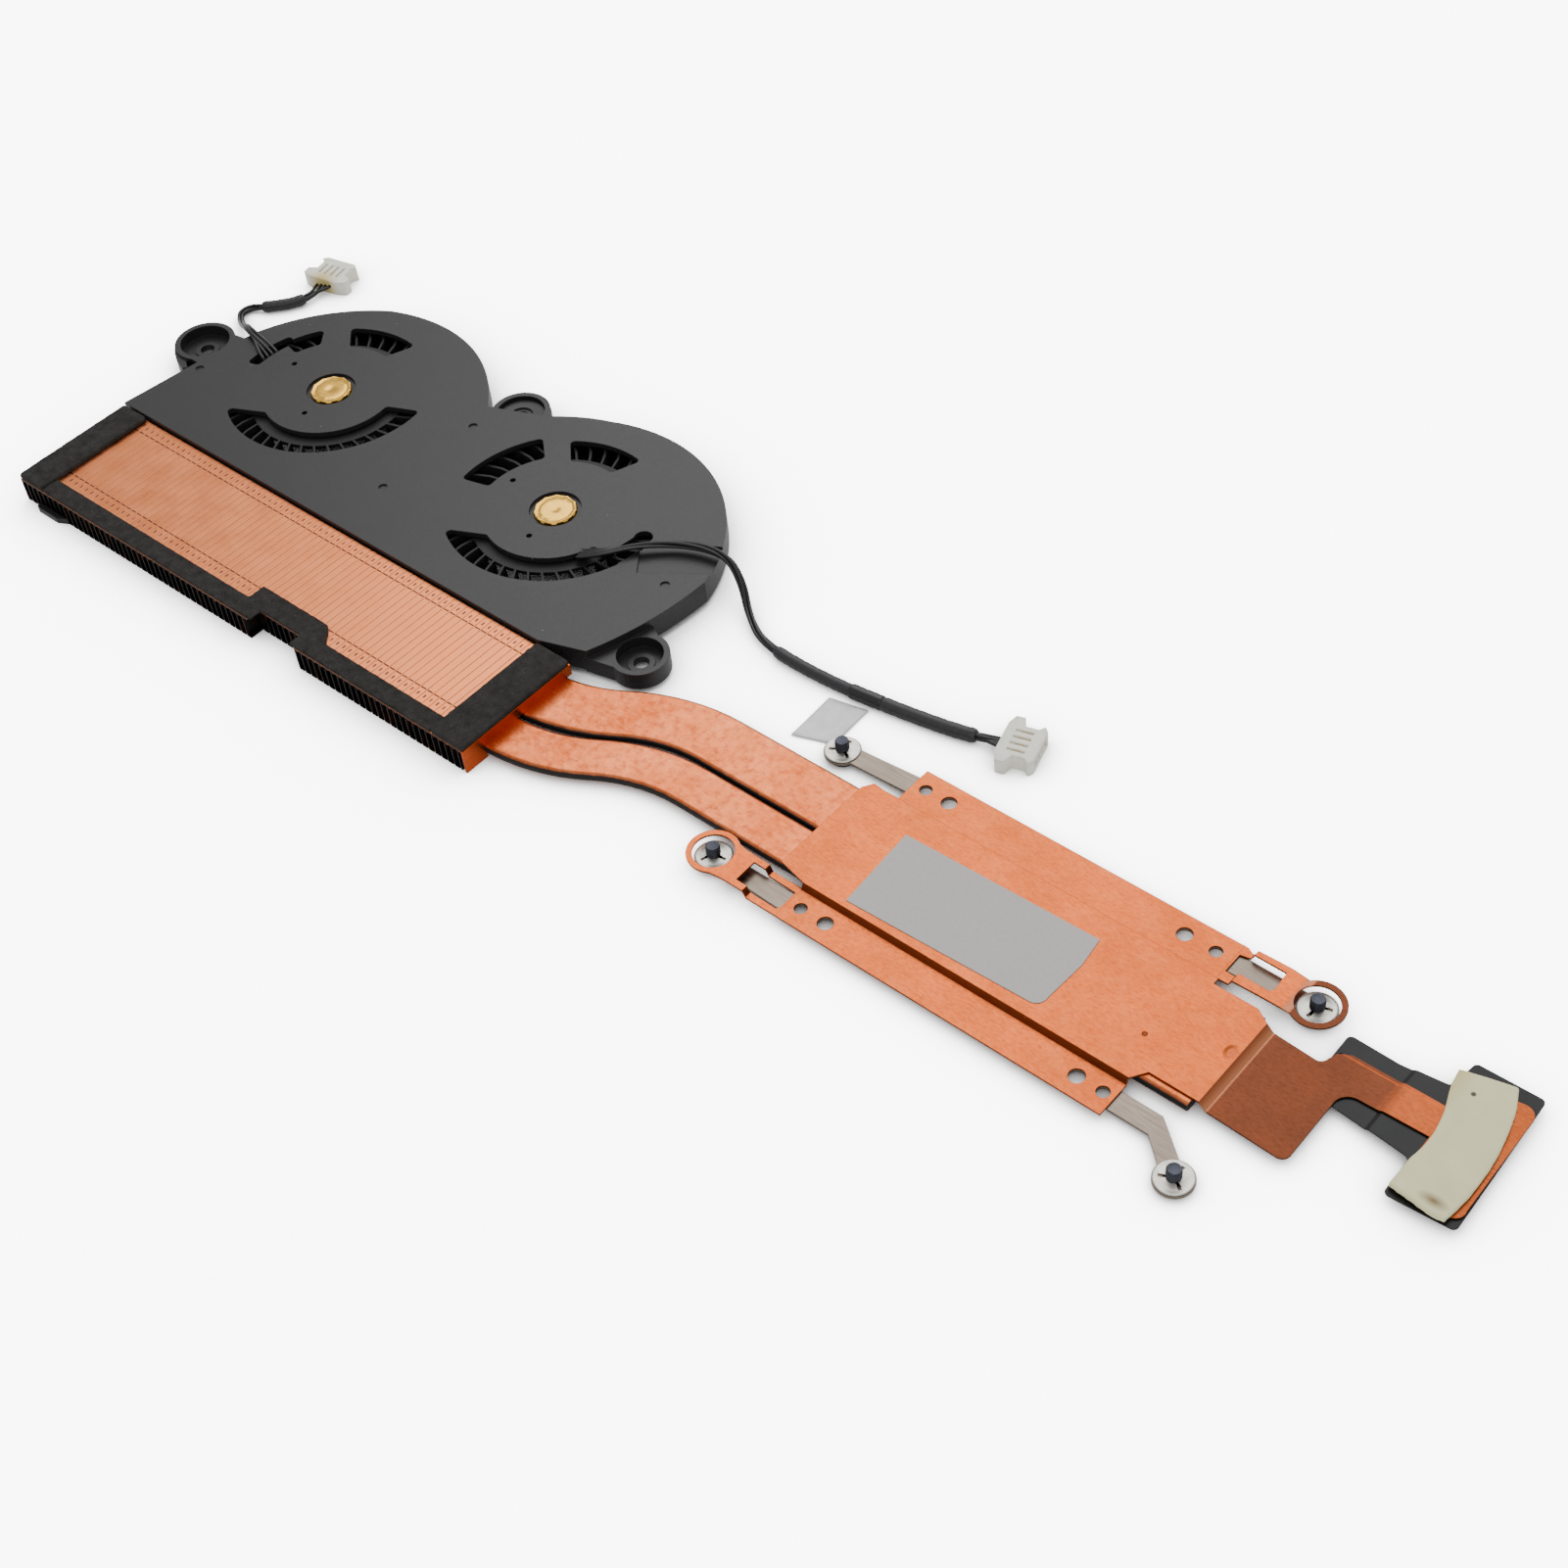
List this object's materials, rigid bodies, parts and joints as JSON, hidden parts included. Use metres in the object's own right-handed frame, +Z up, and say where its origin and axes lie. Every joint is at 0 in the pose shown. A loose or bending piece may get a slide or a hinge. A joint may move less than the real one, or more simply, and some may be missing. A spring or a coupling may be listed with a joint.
{
  "type": "laptop cooling fan heatsink",
  "caption": "Slim laptop cooler: moulded twin-blower housing, copper fin stack with foam strips, flattened heat pipes, sprung contact plate with captive screws, folded tail and fan leads.",
  "frame": {"origin": "middle of the footprint of everything but the fan leads, on the plane that it lies on", "axes": "+X along the fin stack and pipes from the fans to the tail, +Y from the stack's open front to the fans, +Z up out of the side that faces the circuit board"},
  "size_m": [0.2513, 0.0714, 0.0065],
  "materials": {
    "housing_plastic": "matte moulded black",
    "cover_steel": "plain sheet",
    "fin_copper": "bright sheet copper on top, blackened fins",
    "black_foam": "open foam",
    "pipe_copper": "burnished copper, black sides",
    "plate_copper": "rolled copper sheet",
    "grey_film": "thin matt film",
    "spring_steel": "rolled strip",
    "screw_black": "black oxide",
    "washer_steel": "satin",
    "black_film": "thin glossy film",
    "pale_pad": "soft cream pad",
    "wire_black": "thin insulated wire",
    "sleeve_black": "heat-shrink sleeve",
    "plug_white": "translucent white",
    "tag_white": "blank white",
    "cap_brass": "pressed and polished",
    "bearing_bronze": "sintered",
    "shaft_steel": "ground",
    "stator_core": "wound core",
    "magnet_dark": "bonded magnet",
    "impeller_plastic": "matte moulded black"
  },
  "bodies": {
    "cooler": {"fan_housing": "housing_plastic", "fan_cover": "cover_steel", "fin_stack": "fin_copper", "foam_left": "black_foam", "foam_right": "black_foam", "foam_front": "black_foam", "fin_ledge": "black_foam", "heat_pipe_rear": "pipe_copper", "heat_pipe_front": "pipe_copper", "contact_plate": "plate_copper", "thermal_film": "grey_film", "leaf_spring_front": "spring_steel", "leaf_spring_rear": "spring_steel", "captive_screws": "screw_black", "retaining_washers": "washer_steel", "tail_film": "black_film", "tail_pad": "pale_pad", "lead_left": "wire_black", "lead_right": "wire_black", "sleeve_left": "sleeve_black", "sleeve_right": "sleeve_black", "plug_left": "plug_white", "plug_right": "plug_white", "lead_tag": "tag_white", "bearing_cap_left": "cap_brass", "bearing_left": "bearing_bronze", "stator_left": "stator_core", "bearing_cap_right": "cap_brass", "bearing_right": "bearing_bronze", "stator_right": "stator_core"},
    "rotor_left": {"impeller_left": "impeller_plastic", "magnet_left": "magnet_dark", "shaft_left": "shaft_steel"},
    "rotor_right": {"impeller_right": "impeller_plastic", "magnet_right": "magnet_dark", "shaft_right": "shaft_steel"}
  },
  "joints": [
    {"name": "left_fan_spin", "type": "hinge", "parent": "cooler", "child": "rotor_left", "pos_m": [-0.09164, 0.0111, 0.0031], "axis": [0, 0, 1], "continuous": true},
    {"name": "right_fan_spin", "type": "hinge", "parent": "cooler", "child": "rotor_right", "pos_m": [-0.04124, 0.0111, 0.0031], "axis": [0, 0, 1], "continuous": true}
  ]
}
